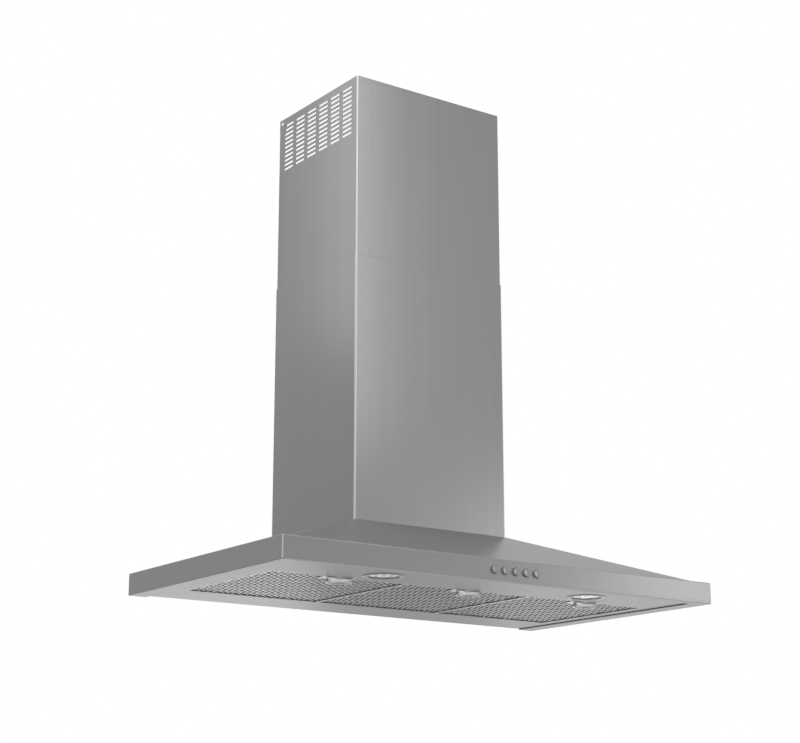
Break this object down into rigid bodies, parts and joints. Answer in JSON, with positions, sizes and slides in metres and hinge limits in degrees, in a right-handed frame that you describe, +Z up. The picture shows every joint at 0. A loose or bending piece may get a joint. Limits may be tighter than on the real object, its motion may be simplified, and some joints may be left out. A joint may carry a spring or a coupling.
{
  "type": "chimney range hood",
  "caption": "Wall-mounted pyramid range hood in brushed stainless steel, with a telescoping chimney, drop-down mesh grease filters, push buttons, lamps, blower and duct collar with damper.",
  "frame": {"origin": "centre of the four wall-screw holes, in the plane of the wall", "axes": "+Z up, +Y into the wall, the front faces -Y, +X to the right of someone who faces the hood"},
  "size_m": [0.898, 0.504, 0.9516],
  "materials": {
    "brushed": "brushed, vertical grain on the covers",
    "brushed_under": "fine brushed",
    "galvanised": "galvanised",
    "zinc": "zinc plated",
    "filter_aluminium": "bright mesh",
    "polished": "polished",
    "spring_steel": "ground",
    "lens": "frosted",
    "cast_aluminium": "cast",
    "board": "circuit board",
    "black_plastic": "moulded",
    "white_plastic": "moulded"
  },
  "bodies": {
    "hood": {"canopy_shell": "brushed", "underside_panel": "brushed_under", "panel_stiffeners": "galvanised", "wall_plate": "galvanised", "lower_cover": "brushed", "lower_cover_screws": "zinc", "left_lamp_bezel": "polished", "left_lamp_lens": "lens", "left_lamp_housing": "cast_aluminium", "right_lamp_bezel": "polished", "right_lamp_lens": "lens", "right_lamp_housing": "cast_aluminium", "led_boards": "board", "button_guide": "black_plastic", "switch_board": "board", "blower_rails": "galvanised", "scroll_wrapper": "galvanised", "left_scroll_cheek": "galvanised", "right_scroll_cheek": "galvanised", "left_inlet_ring": "galvanised", "right_inlet_ring": "galvanised", "motor": "cast_aluminium", "motor_bracket": "galvanised", "bracket_screws": "zinc", "duct_collar": "galvanised", "collar_screws": "zinc", "damper_rod": "spring_steel", "control_box": "galvanised", "control_box_lid": "galvanised", "run_capacitor": "white_plastic", "cord_gland": "black_plastic", "lamp_driver": "white_plastic"},
    "chimney_top": {"upper_cover": "brushed", "upper_cover_brackets": "galvanised", "upper_cover_screws": "zinc"},
    "left_filter": {"left_filter_frame": "filter_aluminium", "left_filter_mesh": "filter_aluminium"},
    "left_latch": {"left_latch_grip": "polished", "left_latch_nose": "spring_steel"},
    "centre_filter": {"centre_filter_frame": "filter_aluminium", "centre_filter_mesh": "filter_aluminium"},
    "centre_latch": {"centre_latch_grip": "polished", "centre_latch_nose": "spring_steel"},
    "right_filter": {"right_filter_frame": "filter_aluminium", "right_filter_mesh": "filter_aluminium"},
    "right_latch": {"right_latch_grip": "polished", "right_latch_nose": "spring_steel"},
    "off_key": {"off_button": "polished"},
    "low_key": {"low_button": "polished"},
    "medium_key": {"medium_button": "polished"},
    "high_key": {"high_button": "polished"},
    "light_key": {"light_button": "polished"},
    "fan": {"wheel_blades": "galvanised", "wheel_disc": "galvanised", "wheel_rings": "galvanised", "motor_shaft": "spring_steel"},
    "front_flap": {"front_damper_flap": "galvanised"},
    "rear_flap": {"rear_damper_flap": "galvanised"}
  },
  "joints": [
    {"name": "upper_cover_slide", "type": "slide", "parent": "hood", "child": "chimney_top", "axis": [0, 0, 1], "range_m": [-0.32, 0.1]},
    {"name": "left_filter_drop", "type": "hinge", "parent": "hood", "child": "left_filter", "pos_m": [-0.262, -0.0975, -0.2667], "axis": [1, 0, 0], "range_deg": [0, 60], "deforming": ["left_latch_nose"]},
    {"name": "left_latch_pull", "type": "slide", "parent": "left_filter", "child": "left_latch", "axis": [0, 1, 0], "range_m": [0, 0.005], "stiffness_N_per_m": 300, "springref_m": -0.004},
    {"name": "centre_filter_drop", "type": "hinge", "parent": "hood", "child": "centre_filter", "pos_m": [0, -0.0975, -0.2667], "axis": [1, 0, 0], "range_deg": [0, 60], "deforming": ["centre_latch_nose"]},
    {"name": "centre_latch_pull", "type": "slide", "parent": "centre_filter", "child": "centre_latch", "axis": [0, 1, 0], "range_m": [0, 0.005], "stiffness_N_per_m": 300, "springref_m": -0.004},
    {"name": "right_filter_drop", "type": "hinge", "parent": "hood", "child": "right_filter", "pos_m": [0.262, -0.0975, -0.2667], "axis": [1, 0, 0], "range_deg": [0, 60], "deforming": ["right_latch_nose"]},
    {"name": "right_latch_pull", "type": "slide", "parent": "right_filter", "child": "right_latch", "axis": [0, 1, 0], "range_m": [0, 0.005], "stiffness_N_per_m": 300, "springref_m": -0.004},
    {"name": "off_button_press", "type": "slide", "parent": "hood", "child": "off_key", "axis": [0, 1, 0], "range_m": [0, 0.003], "stiffness_N_per_m": 500, "springref_m": -0.002},
    {"name": "low_button_press", "type": "slide", "parent": "hood", "child": "low_key", "axis": [0, 1, 0], "range_m": [0, 0.003], "stiffness_N_per_m": 500, "springref_m": -0.002},
    {"name": "medium_button_press", "type": "slide", "parent": "hood", "child": "medium_key", "axis": [0, 1, 0], "range_m": [0, 0.003], "stiffness_N_per_m": 500, "springref_m": -0.002},
    {"name": "high_button_press", "type": "slide", "parent": "hood", "child": "high_key", "axis": [0, 1, 0], "range_m": [0, 0.003], "stiffness_N_per_m": 500, "springref_m": -0.002},
    {"name": "light_button_press", "type": "slide", "parent": "hood", "child": "light_key", "axis": [0, 1, 0], "range_m": [0, 0.003], "stiffness_N_per_m": 500, "springref_m": -0.002},
    {"name": "fan_spin", "type": "hinge", "parent": "hood", "child": "fan", "pos_m": [0, -0.105, -0.04], "axis": [1, 0, 0], "continuous": true},
    {"name": "front_flap_lift", "type": "hinge", "parent": "hood", "child": "front_flap", "pos_m": [0, -0.1395, 0.1232], "axis": [-1, 0, 0], "range_deg": [0, 80]},
    {"name": "rear_flap_lift", "type": "hinge", "parent": "hood", "child": "rear_flap", "pos_m": [0, -0.1395, 0.1232], "axis": [1, 0, 0], "range_deg": [0, 80]}
  ]
}
